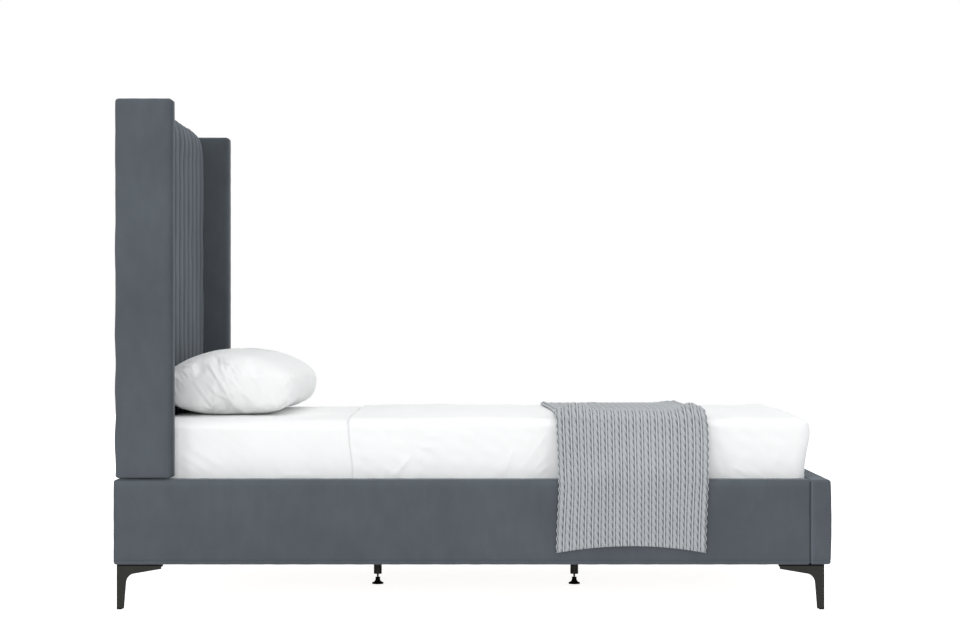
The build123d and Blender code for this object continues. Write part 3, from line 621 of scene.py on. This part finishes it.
def make_pad():
    rows = pad_rows()
    half = corners_of("headboard_pad")[1][Y] - pad_side_gap
    count = channels * channel_steps
    number = np.arange(count + 1)
    across = np.linspace(-half, half, count + 1)
    seats, crests = (np.insert([row[part] for row in rows], 1, 0, axis=1) for part in (0, 1))
    rolls = np.array([row[2] for row in rows])
    climb = travel_along(crests)
    phase = ((number / channel_steps) % 1) * 2 - 1
    valley = 1 - np.sqrt(np.clip(1 - np.abs(phase) ** 3.2, 0, 1))
    reach = np.linalg.norm(crests - seats, axis=1)
    way = (crests - seats) / reach[:, None]
    grid_across, grid_climb = np.meshgrid(across, climb)
    flat = np.stack([grid_across.ravel(), grid_climb.ravel()], axis=1)
    shape = grid_across.shape
    tuck = bell(1 - np.abs(phase), 0.16)
    ripple = np.sin(grid_climb * 2 * math.pi / pucker_pitch + 2.2 * number / channel_steps)
    puckers = pucker_height * tuck * ripple
    lumps = 0.0008 * (1 - valley) * waves(flat, 0.16, 61).reshape(shape)
    crown = pad_crown * rolls[:, None] * (1 - (across / half) ** 4)
    depth = channel_depth + (channel_depth_on_top - channel_depth) * ease(rolls[:, None] * 1.3 - 0.3)
    height = reach[:, None] - 0.001 - depth * valley + puckers + lumps + crown
    height = np.maximum(height, pad_least_thickness)
    outer = seats[:, None, :] + way[:, None, :] * height[..., None]
    outer[..., Y] = grid_across
    inner = np.repeat(seats[:, None, :], count + 1, axis=1)
    inner[..., Y] = grid_across
    points, faces = thicken(outer.reshape(-1, 3), inner.reshape(-1, 3), grid_quads(*shape))
    row_shade = 0.03 * (1 - valley) - 0.25 * tuck ** 2 - 0.12
    shade = np.concatenate([np.tile(row_shade, shape[0]), np.zeros(outer.size // 3)])
    make_piece("headboard_pad_velvet", points, faces, ["headboard_pad"], shade=shade)


make_pad()


# Dust cloth on the back, stretched over the headboard's frame with its edges turned under
dust_hem = 0.012
dust_cell = 0.02
dust_radius = 0.002
dust_gap = 0.0004
dust_bottom_gap = 0.003
dust_sag = 0.004
dust_hem_lines = (-0.48, 0.48)
post_reach = 0.07


def make_dust_cover():
    low, high = corners_of("headboard_back_cover")
    across = rounded_lines(low[Y] + dust_gap, high[Y] - dust_gap, dust_radius, dust_cell, dust_hem_lines)
    up = rounded_lines(low[Z] + dust_bottom_gap, high[Z] - dust_gap, dust_radius, dust_cell)
    points, faces = box_skin([np.array([low[X], high[X]]), across, up])
    inset = np.minimum(points - low, high - points)[:, [Y, Z]].min(axis=1)
    slack = np.clip((inset - post_reach) / 0.25, 0, 1)
    between_bars = np.ones(len(points))
    for bar in [name for name in frame["nodes"] if name.startswith("headboard_crossbar")]:
        bar_low, bar_high = corners_of(bar)
        clear = np.maximum(bar_low[Z] - points[:, Z], points[:, Z] - bar_high[Z])
        between_bars = np.minimum(between_bars, ease(clear / 0.15))
    unevenness = 0.0003 * (1 + np.clip(waves(points, 0.08, 71), -1, 1))
    points[:, X] += dust_sag * slack * between_bars - unevenness
    folded = (inset < dust_hem) & (points[:, X] < (low[X] + high[X]) / 2)
    points[:, X] -= 0.0006 * folded
    piece = make_piece("headboard_back_cloth", points, faces, ["headboard_back_cover"])


make_dust_cover()

# The bedding is a little lower along its sides than in the middle
bed_crown = 0.007
bed_half_width = corners_of("top_sheet")[1][Y]


def crown_drop(across):
    """How far the bedding's top has sunk at this place across the bed."""
    return bed_crown * np.minimum(np.abs(across) / bed_half_width, 1) ** 2.5


def sink_top(points, top):
    """Lower the points near the top of the bedding to its crown."""
    points[:, Z] -= crown_drop(points[:, Y]) * np.clip((points[:, Z] - top + 0.1) / 0.1, 0, 1)


# Mattress, with a taped edge round its top and bottom
mattress_radii = (0.05, 0.05, 0.026)
mattress_cells = (0.03, 0.03, 0.015)
tape_inset = 0.024
tape_width = 0.0035
tape_height = 0.0032
quilt_size = 0.11
quilt_depth = 0.002


def make_mattress():
    low, high = corners_of("mattress")
    tapes = (low[Z] + tape_inset, high[Z] - tape_inset)
    points, faces = rounded_skin(low, high, mattress_radii, mattress_cells, ((), (), tapes))
    points, normals, _ = round_edges(points, low, high, mattress_radii)
    side = 1 - np.abs(normals[:, Z])
    tape = sum(bell(points[:, Z] - place, tape_width) for place in tapes)
    quilts = np.sin(points[:, X] * math.pi / quilt_size) * np.sin(points[:, Y] * math.pi / quilt_size)
    quilting = quilt_depth * np.abs(normals[:, Z]) * (np.abs(quilts) - 1)
    height = quilting - tape_height * side + tape_height * tape * np.clip(side * 3, 0, 1)
    shade = -0.3 * np.clip(tape, 0, 1)
    points = points + normals * height[:, None]
    sink_top(points, high[Z])
    piece = make_piece("mattress_ticking", points, faces, ["mattress"], shade=shade)


make_mattress()

# Sheets over the mattress: a fold's two ends on the near side as X and Z, its width and its height
fitted_folds = [
    ((-0.86, 0.45), (-0.76, 0.385), 0.006, 0.0022),
    ((-0.85, 0.42), (-0.79, 0.378), 0.005, 0.0018),
    ((-0.83, 0.47), (-0.72, 0.4), 0.008, 0.0015),
    ((-0.57, 0.385), (-0.44, 0.379), 0.004, 0.002),
    ((-0.7, 0.5), (-0.55, 0.42), 0.012, 0.0008),
]
top_folds = [
    ((0.243, 0.54), (0.122, 0.372), 0.006, 0.0018),
    ((0.262, 0.5), (0.16, 0.372), 0.006, 0.0018),
    ((0.25, 0.435), (0.178, 0.376), 0.005, 0.0026),
    ((0.12, 0.465), (0.087, 0.376), 0.005, 0.0022),
    ((0.068, 0.415), (0.065, 0.37), 0.0035, 0.0022),
    ((0.085, 0.44), (0.076, 0.37), 0.0035, 0.0016),
    ((-0.172, 0.445), (-0.24, 0.37), 0.005, 0.0028),
    ((-0.19, 0.425), (-0.222, 0.372), 0.0035, 0.002),
    ((-0.243, 0.41), (-0.248, 0.37), 0.0035, 0.0022),
    ((-0.174, 0.49), (-0.18, 0.43), 0.0035, 0.0014),
    ((-0.152, 0.446), (-0.157, 0.37), 0.0035, 0.0028),
    ((-0.135, 0.43), (-0.138, 0.372), 0.003, 0.0014),
    ((-0.165, 0.474), (-0.11, 0.45), 0.0035, 0.0014),
    ((-0.145, 0.492), (-0.09, 0.5), 0.0035, 0.0012),
    ((-0.15, 0.462), (-0.1, 0.468), 0.003, 0.001),
    ((0.75, 0.41), (0.82, 0.372), 0.004, 0.0026),
    ((0.79, 0.405), (0.845, 0.374), 0.004, 0.0022),
    ((0.71, 0.425), (0.725, 0.372), 0.004, 0.002),
    ((0.69, 0.5), (0.705, 0.4), 0.006, 0.0016),
    ((0.9, 0.5), (0.87, 0.375), 0.012, 0.0016),
]


# The folds that are drawn start at this height or a little higher, and at the foot lie this far across
fold_bottom = 0.37
foot_fold_reach = 0.44


def fold_heights(points, normals, folds, seed, count, x_range):
    """A sheet's folds: the listed ones on the near side, and drawn ones on the far side and the foot."""
    near = np.clip(-normals[:, Y], 0, 1) ** 2
    far = np.clip(normals[:, Y], 0, 1) ** 2
    foot = np.clip(normals[:, X], 0, 1) ** 2
    height = np.zeros(len(points))
    for start, end, width, size in folds:
        height += near * size * crease(points[:, X], points[:, Z], start, end, width)
    draws = np.random.default_rng(seed)
    for face, axis, low, high in ((far, X, *x_range), (foot, Y, -foot_fold_reach, foot_fold_reach)):
        for _ in range(count):
            place = draws.uniform(low, high)
            bottom = draws.uniform(fold_bottom, fold_bottom + 0.02)
            top = bottom + draws.uniform(0.03, 0.13)
            lean = draws.normal(0, 0.03)
            size = draws.uniform(0.001, 0.0035)
            width = draws.uniform(0.004, 0.009)
            ends = (place, bottom), (place + lean, top)
            height += face * size * crease(points[:, axis], points[:, Z], *ends, width)
    return height


fitted_radii = (0.055, 0.055, 0.03)
fitted_cells = (0.009, 0.014, 0.007)
fitted_thickness = 0.0014
fitted_hem = 0.02
ruffle_height = 0.0007


def make_fitted_sheet():
    low, high = corners_of("fitted_sheet")
    box_low = low - np.array([0, 0, fitted_radii[Z]])
    points, faces = rounded_skin(box_low, high, fitted_radii, fitted_cells)
    centres = points[faces].mean(axis=1)
    points, faces = without(points, faces, centres[:, Z] < low[Z])
    points[:, Z] = np.maximum(points[:, Z], low[Z])
    points, normals, _ = round_edges(points, box_low, high, fitted_radii)
    x, y, z = points.T
    covered_from = corners_of("top_sheet")[0][X] - 0.04
    bare = ease((covered_from - x) / 0.06)
    height = fold_heights(points, normals, fitted_folds, 81, 9, (-0.85, -0.4)) * bare
    height += (0.0006 * waves(points, 0.12, 82) + 0.0003 * waves(points, 0.03, 83)) * (0.3 + 0.7 * bare)
    ruffles = np.sin(np.arctan2(y, x) * 60 + x * 160 + y * 160)
    height += ruffle_height * bell(z - low[Z], 0.02) * ruffles
    sink_top(points, high[Z])
    outer = points + normals * (height - 0.0006)[:, None]
    inner = outer - vertex_normals(outer, faces) * fitted_thickness
    shell, shell_faces = thicken(outer, inner, faces)
    shade = np.tile(-0.2 * bell(points[:, Z] - low[Z] - fitted_hem, 0.002), 2)
    piece = make_piece("fitted_sheet_cotton", shell, shell_faces, ["fitted_sheet"], shade=shade)


make_fitted_sheet()

# Top sheet: its head edge slants across the bed, it is smooth under the throw and it bulges at the foot
top_start = corners_of("top_sheet")[0][X] - 0.002
top_radii = (0.036, 0.036, 0.026)
top_cells = (0.0065, 0.012, 0.006)
top_thickness = 0.0018
head_edge_slant = 0.028
head_edge_droop = 0.011
smooth_start = 0.2
smooth_end = 0.72
foot_bulge = 0.014
foot_bulge_height = 0.505
foot_crown = 0.003
sheet_rise = 0.005


def make_top_sheet():
    low, high = corners_of("top_sheet")
    head_line = top_start - top_radii[X]
    skirt = low[Z] - top_radii[Z]
    points, faces = rounded_skin((head_line, low[Y], skirt), high, top_radii, top_cells)
    centres = points[faces].mean(axis=1)
    unwanted = (centres[:, Z] < low[Z]) | (centres[:, X] < top_start)
    points, faces = without(points, faces, unwanted)
    box_low = np.array([head_line - 1, low[Y], skirt])
    points, normals, _ = round_edges(points, box_low, high, top_radii)
    sink_top(points, high[Z])
    across = np.clip(points[:, Y] / high[Y], -1, 1)
    near_edge = ease(1 - (points[:, X] - top_start) / 0.3)
    slant = head_edge_slant * ((1 + across) / 2) ** 1.4
    points[:, X] -= near_edge * (slant - head_edge_droop * ease((0.52 - points[:, Z]) / 0.13))
    x, z = points[:, X], points[:, Z]
    free = 1 - ease((x - smooth_start) / 0.03) * ease((smooth_end - x) / 0.03)
    height = fold_heights(points, normals, top_folds, 91, 16, (-0.3, 0.9)) * free
    top = np.clip(normals[:, Z], 0, 1) ** 2
    height += free * (0.0011 * waves(points, 0.15, 92) + 0.0005 * waves(points, 0.045, 93))
    height += free * top * 0.0022 * np.abs(waves(points, 0.3, 94))
    foot = np.clip(normals[:, X], 0, 1) ** 2
    height += foot * (0.003 * ease((z - 0.385) / 0.05) + foot_bulge * bell(z - foot_bulge_height, 0.055))
    height += foot_crown * top * bell(x - high[X] + 0.02, 0.06)
    before_throw = ease((x - top_start) / 0.1) * ease((smooth_start - x) / 0.1)
    height += sheet_rise * top * before_throw * (1 - np.abs(across) ** 2.5)
    outer = points + normals * (height - 0.0014)[:, None]
    hem = bell(x - x.min() - 0.018, 0.0016)
    outer = outer - normals * (0.0005 * hem)[:, None]
    inner = outer - vertex_normals(outer, faces) * top_thickness
    shell, shell_faces = thicken(outer, inner, faces)
    shade = np.tile(-0.12 * hem, 2)
    piece = make_piece("top_sheet_cotton", shell, shell_faces, ["top_sheet"], shade=shade)


make_top_sheet()


# Pillow: a plump bag with blunt ends, let out a little and settled as cloth so that its case crumples
pillow_cell = 0.0075
pillow_start_share = 0.975
pillow_end_share = 0.998
pillow_taper = 0.3
pillow_end_sag = 0.02
pillow_shade = -0.9
pillow_press = 1.13
pillow_cloth = {
    "quality": 6, "mass": 0.2, "air_damping": 3, "use_pressure": True, "uniform_pressure_force": 2.2,
    "tension_stiffness": 30, "compression_stiffness": 30, "shear_stiffness": 10, "bending_stiffness": 0.02,
    "shrink_min": -0.055,
}
pillow_frames = 14
pillow_fold_size = 0.62
pillow_folds = [
    ((-0.8, 0.715), (-0.715, 0.6), 0.0048, 0.0034),
    ((-0.765, 0.728), (-0.745, 0.672), 0.0042, 0.0022),
    ((-0.838, 0.66), (-0.765, 0.58), 0.0048, 0.0022),
    ((-0.725, 0.66), (-0.655, 0.6), 0.0048, 0.0016),
    ((-0.7, 0.715), (-0.62, 0.62), 0.0048, 0.0018),
    ((-0.735, 0.71), (-0.7, 0.665), 0.0042, 0.0016),
    ((-0.74, 0.62), (-0.68, 0.565), 0.005, 0.0018),
    ((-0.9, 0.68), (-0.885, 0.61), 0.0045, 0.003),
    ((-0.91, 0.62), (-0.875, 0.585), 0.0045, 0.003),
]


def plump(unit):
    """The skin of a cube from -1 to 1 made a pillow: lens-shaped above, flatter below, with blunt ends."""
    x, y, z = np.abs(unit[:, X]), np.abs(unit[:, Y]), np.abs(unit[:, Z])
    power = np.where(unit[:, Z] > 0, 1.42, np.where(unit[:, X] > 0, 4.8, 3.6))
    section = np.maximum(x ** power + z ** power, 1e-9) ** (1 / power)
    reach = (section ** 8 + y ** 8) ** 0.125
    bag = unit / reach[:, None]
    bag[:, Z] *= np.where(bag[:, Z] > 0, 1 - pillow_taper * np.abs(bag[:, Y]) ** 3.5, 1)
    return bag


def settle(points, faces):
    """The bag after a short cloth simulation with air inside, on a mesh twice as fine."""
    bag, mesh = add_mesh("pillow_bag", points.tolist(), faces.tolist())
    cloth = bag.modifiers.new("cloth", "CLOTH")
    for name, value in pillow_cloth.items():
        setattr(cloth.settings, name, value)
    cloth.settings.effector_weights.gravity = 0
    cloth.collision_settings.use_self_collision = False
    cloth.point_cache.frame_start = 1
    cloth.point_cache.frame_end = pillow_frames
    for number in range(1, pillow_frames + 1):
        scene.frame_set(number)
    bag.modifiers.new("finer", "SUBSURF").levels = 1
    blown = bag.evaluated_get(bpy.context.evaluated_depsgraph_get()).data
    result = np.zeros(len(blown.vertices) * 3, np.float32)
    blown.vertices.foreach_get("co", result)
    corners = np.zeros(len(blown.loops), np.int32)
    blown.loops.foreach_get("vertex_index", corners)
    bpy.data.objects.remove(bag)
    bpy.data.meshes.remove(mesh)
    scene.frame_set(1)
    return result.reshape(-1, 3).astype(float), corners.reshape(-1, 4)


def make_pillow():
    low, high = corners_of("pillow")
    centre = (low + high) / 2
    half = (high - low) / 2
    lines = [np.linspace(-1, 1, round(2 * half[axis] / pillow_cell) + 1) for axis in (X, Y, Z)]
    cube, faces = box_skin(lines)
    points = centre + plump(cube) * half * pillow_start_share
    points += vertex_normals(points, faces) * (0.0008 * waves(points, 0.05, 111, 9))[:, None]
    points, faces = settle(points, faces)
    least, most = points.min(axis=0), points.max(axis=0)
    points = centre + (points - (least + most) / 2) / (most - least) * (high - low) * pillow_end_share
    normals = vertex_normals(points, faces)
    near_end = np.clip(-normals[:, Y] * 1.3, 0, 1) ** 0.6
    x, y, z = points.T
    height = np.zeros(len(points))
    for start, end, width, fold in pillow_folds:
        ridge = crease(x, z, start, end, width)
        valley = crease(x + 1.6 * width, z + 1.2 * width, start, end, width)
        height += pillow_fold_size * near_end * fold * (ridge - 0.6 * valley)
    slope = np.stack([x * 0.74 + z * 0.67, (z * 0.74 - x * 0.67) * 0.3, y * 0.5], axis=1)
    patches = np.clip(waves(points, 0.16, 113) + 0.7, 0.1, 1.2)
    for length, size, seed in ((0.046, 0.0012, 112), (0.026, 0.0014, 114), (0.015, 0.0009, 116)):
        crumple = np.clip(1 - np.abs(waves(slope, length, seed, 8)), 0, 1) ** 2
        height += size * crumple * patches * (0.15 + 0.85 * near_end)
    points = points + normals * height[:, None]
    lower = np.clip((centre[Z] - points[:, Z]) / half[Z], 0, 1)
    end_sag = pillow_end_sag * (np.abs(points[:, Y]) / half[Y]) ** 3
    points[:, Z] -= lower * ((pillow_press - 1) * half[Z] + end_sag)
    floor = low[Z] + 0.0004 - crown_drop(points[:, Y])
    points[:, Z] = floor + np.logaddexp(0, (points[:, Z] - floor) / 0.004) * 0.004
    points[:, X] = np.maximum(points[:, X], low[X])
    piece = make_piece("pillow_case", points, faces, ["pillow"], shade=np.full(len(points), pillow_shade))


make_pillow()


# Throw: a knitted blanket folded in thirds, laid over the bed with a cable pattern down its length
throw_columns = 21
throw_column_steps = 14
throw_step = 0.0027
cable_turn = 0.0236
throw_arch = 0.02
throw_core = 0.004
cable_height = 0.0052
rib_height = 0.0045
throw_edge_radius = 0.006
shoulder_lift = 0.012
shoulder_hump = 0.022


def rounded_path(corners, radii, step):
    """Evenly spaced points along straight runs with rounded corners."""
    corners = [np.array(corner, float) for corner in corners]
    pieces = [corners[0]]
    for before, corner, after, radius in zip(corners, corners[1:], corners[2:], radii):
        into = (corner - before) / np.linalg.norm(corner - before)
        out = (after - corner) / np.linalg.norm(after - corner)
        turn = math.acos(np.clip(into @ out, -1, 1))
        reach = radius * math.tan(turn / 2)
        for share in np.linspace(0, 1, 17):
            start, end = corner - into * reach, corner + out * reach
            pieces.append((1 - share) ** 2 * start + 2 * share * (1 - share) * corner + share ** 2 * end)
    pieces.append(corners[-1])
    line = np.array(pieces)
    travel = travel_along(line)
    places = np.linspace(0, travel[-1], round(travel[-1] / step) + 1)
    return np.stack([np.interp(places, travel, line[:, axis]) for axis in range(2)], axis=1), places


def knit_relief(across, along):
    """The relief of the knit, and its tone with painted light and shade: in each column a plaited cable
    between two smooth ribs.
    """
    column = across * throw_columns
    share = column % 1 - 0.5
    number = np.floor(column)
    off = share / 0.3
    dome = np.clip(1 - off ** 4, 0, 1) ** 0.5
    drift = 0.06 * number + 0.1 * np.sin(1.7 * number)
    lean = along / cable_turn + 0.55 * off + drift
    strand = (0.5 + 0.5 * np.cos(2 * math.pi * lean)) ** 1.3
    ply = (0.5 + 0.5 * np.cos(4 * math.pi * lean + 0.9)) ** 1.5
    cable = cable_height * dome * (0.35 + 0.4 * strand + 0.25 * ply)
    rib_share = np.clip(1 - ((np.abs(share) - 0.5) / 0.115) ** 2, 0, 1)
    rib = rib_height * rib_share ** 0.5
    groove = bell(np.abs(share) - 0.34, 0.055)
    right_spot = bell(off - 0.85, 0.4) * (0.5 + 0.5 * np.cos(2 * math.pi * (lean + 0.45))) ** 2
    left_spot = bell(off + 0.95, 0.35) * (0.5 + 0.5 * np.cos(2 * math.pi * (lean - 0.05))) ** 2
    spots = np.maximum(right_spot, 0.7 * left_spot)
    # Painted highlights on the ribs and strands, and painted shade in the grooves and in dark spots where
    # a strand dives under
    tone = 0.75 * rib_share + dome * (0.45 * strand + 0.55 * ply - 0.35) - 1.0 * groove - 1.1 * spots
    return np.maximum(cable, rib) - 0.0015 * spots * dome, tone


def rounded_edge(distance):
    """The throw's thickness this far from its edge, as a share of its full thickness."""
    return np.sqrt(np.clip(1 - (1 - np.clip(distance / throw_edge_radius, 0, 1)) ** 2, 0, 1))


def make_throw():
    low, high = corners_of("throw")
    width = high[X] - low[X]
    hang = high[Y] - throw_core / 2 - 0.003
    rail_top = corners_of("rail_cover_left")[1][Z]
    shoulder = corners_of("top_sheet")[1][Y] + throw_core / 2 + 0.001
    base_top = high[Z] - 0.006
    corners = [(-hang, low[Z]), (-hang, rail_top), (-shoulder, base_top),
               (shoulder, base_top), (hang, rail_top), (hang, low[Z])]
    line, places = rounded_path(corners, (0.12, 0.036, 0.036, 0.12), throw_step)
    tangent = np.gradient(line, axis=0)
    tangent /= np.linalg.norm(tangent, axis=1, keepdims=True)
    outward = np.stack([-tangent[:, 1], tangent[:, 0]], axis=1)
    count = throw_columns * throw_column_steps
    share = np.linspace(0, 1, count + 1)
    grid_share, grid_place = np.meshgrid(share, places, indexing="ij")
    edge = np.minimum(grid_share, 1 - grid_share) * width
    relief, tone = knit_relief(grid_share, grid_place)
    base_y, base_z, out_y, out_z = (np.tile(row, (count + 1, 1)) for row in (*line.T, *outward.T))
    beside = grid_share * width
    base_x = low[X] + beside

    lies = ease(np.clip(out_z, 0, 1))
    hanging = 1 - lies
    base_z -= crown_drop(base_y) * lies
    on_top = np.clip(out_z * 2, 0, 1)
    near = bell(base_y + 0.44, 0.11) * on_top
    far = bell(base_y - 0.44, 0.09) * on_top
    head_hump = shoulder_hump * bell(beside - 0.055, 0.034)
    foot_hump = shoulder_hump * bell(width - beside - 0.04, 0.03)
    hump = near * (shoulder_lift + head_hump + foot_hump)
    hump += far * 0.006 * bell(width - beside - 0.03, 0.03)
    middle_fold = 0.0015 * bell(grid_share - 0.34, 0.03) * lies
    sway = 0.0025 * waves(np.stack([base_x, base_y, base_z], axis=-1).reshape(-1, 3), 0.22, 101)
    sway = sway.reshape(grid_share.shape) * ease(edge / 0.05) * hanging
    lift = hump + middle_fold + np.maximum(sway, 0)
    relief = relief * (1 - 0.25 * lies)
    hem_edge = np.minimum(grid_place, places[-1] - grid_place)
    body = 0.25 + 0.75 * np.minimum(rounded_edge(edge), rounded_edge(hem_edge))
    fold_roll = 0.0035 * bell(edge - 0.008, 0.008)
    outer_lift = lift + body * (throw_core / 2 + relief + fold_roll)
    inner_lift = lift * 0.85 - body * throw_core / 2

    fall_start = rail_top + 0.03
    fall = ease((fall_start - base_z) / (fall_start - low[Z]))
    arch = throw_arch * (1 - (2 * grid_share - 1) ** 2) * fall
    flap = 0.028 * bell(grid_share, 0.16) * ease((base_y + 0.3) / 0.74) * lies
    weave_edge = 0.0016 * np.sin(2 * math.pi * grid_place / cable_turn) * bell(edge, 0.01)
    left_pull = bell(grid_share, 0.25) * 0.008 * bell(base_z - 0.38, 0.13) * hanging
    right_swing = bell(1 - grid_share, 0.25) * (0.007 * bell(base_z - 0.49, 0.09) - 0.006 * fall) * hanging
    x = base_x - flap + left_pull + right_swing + np.where(grid_share < 0.5, 1, -1) * weave_edge
    skins = []
    for rise in (outer_lift, inner_lift):
        y = base_y + out_y * rise
        z = base_z + out_z * rise + arch
        skins.append(np.stack([x, y, z], axis=-1).reshape(-1, 3))
    faces = grid_quads(*grid_share.shape)[:, [0, 3, 2, 1]]
    points, faces = thicken(*skins, faces)
    shade = np.concatenate([tone.ravel(), np.full(tone.size, -0.2)])
    piece = make_piece("throw_knit", points, faces, ["throw"], shade=shade)


make_throw()


# Floor, world and lamps
floor_half = 12.0
floor_glow = 0.88
dome_strength = 0.68
dome_colour = (0.97, 0.985, 1.0, 1)


def make_floor():
    """A floor that glows nearly white where the camera sees it."""
    corners = [(x * floor_half, y * floor_half, 0) for x, y in ((-1, -1), (1, -1), (1, 1), (-1, 1))]
    floor, mesh = add_mesh("floor", corners, [(0, 1, 2, 3)])
    floor.location.z = -0.0002
    material, tree, shader = new_material("floor", 0.9, specular=0.1)
    shader.inputs["Base Color"].default_value = (0.86, 0.86, 0.86, 1)
    shader.inputs["Emission Color"].default_value = (1, 1, 1, 1)
    path = add_node(tree, "ShaderNodeLightPath", {}).outputs
    glow = calculate(tree, "MULTIPLY", path["Is Camera Ray"], floor_glow)
    tree.links.new(glow, shader.inputs["Emission Strength"])
    mesh.materials.append(material)


def make_world():
    """A soft dome of light that the camera sees as plain white."""
    world = bpy.data.worlds.new("studio")
    world.use_nodes = True
    scene.world = world
    tree = world.node_tree
    path = add_node(tree, "ShaderNodeLightPath", {}).outputs
    seen = calculate(tree, "MAXIMUM", path["Is Camera Ray"], path["Is Glossy Ray"])
    seen = calculate(tree, "MAXIMUM", seen, path["Is Transmission Ray"])
    dome = add_node(tree, "ShaderNodeBackground", {"Color": dome_colour, "Strength": dome_strength})
    white = add_node(tree, "ShaderNodeBackground", {"Color": (1, 1, 1, 1), "Strength": 1.0})
    both = add_node(tree, "ShaderNodeMixShader",
                    {0: seen, 1: dome.outputs["Background"], 2: white.outputs["Background"]})
    tree.links.new(both.outputs["Shader"], tree.nodes["World Output"].inputs["Surface"])


def add_lamp(name, place, aim, size, watts):
    lamp = bpy.data.lights.new(name, "AREA")
    lamp.shape = "RECTANGLE"
    lamp.size, lamp.size_y = size
    lamp.energy = watts
    lamp_object = bpy.data.objects.new(name, lamp)
    lamp_object.location = place
    way = np.array(aim) - np.array(place)
    flat = math.hypot(way[X], way[Y])
    lamp_object.rotation_euler = (math.atan2(flat, -way[Z]), 0, math.atan2(way[Y], way[X]) - math.pi / 2)
    scene.collection.objects.link(lamp_object)


make_floor()
make_world()
add_lamp("left", (-4.4, -5.4, 1.8), (0.2, -0.4, 0.5), (1.4, 1.8), 36)
add_lamp("right", (3.0, -5.2, 2.0), (0, -0.3, 0.6), (1.8, 1.8), 27)
add_lamp("front", (-0.4, -6.2, 1.1), (0, 0, 0.5), (3.2, 1.6), 66)
add_lamp("overhead", (0.3, -0.6, 3.6), (0, 0, 0.4), (3.2, 2.4), 36)

scene.view_settings.view_transform = "Standard"
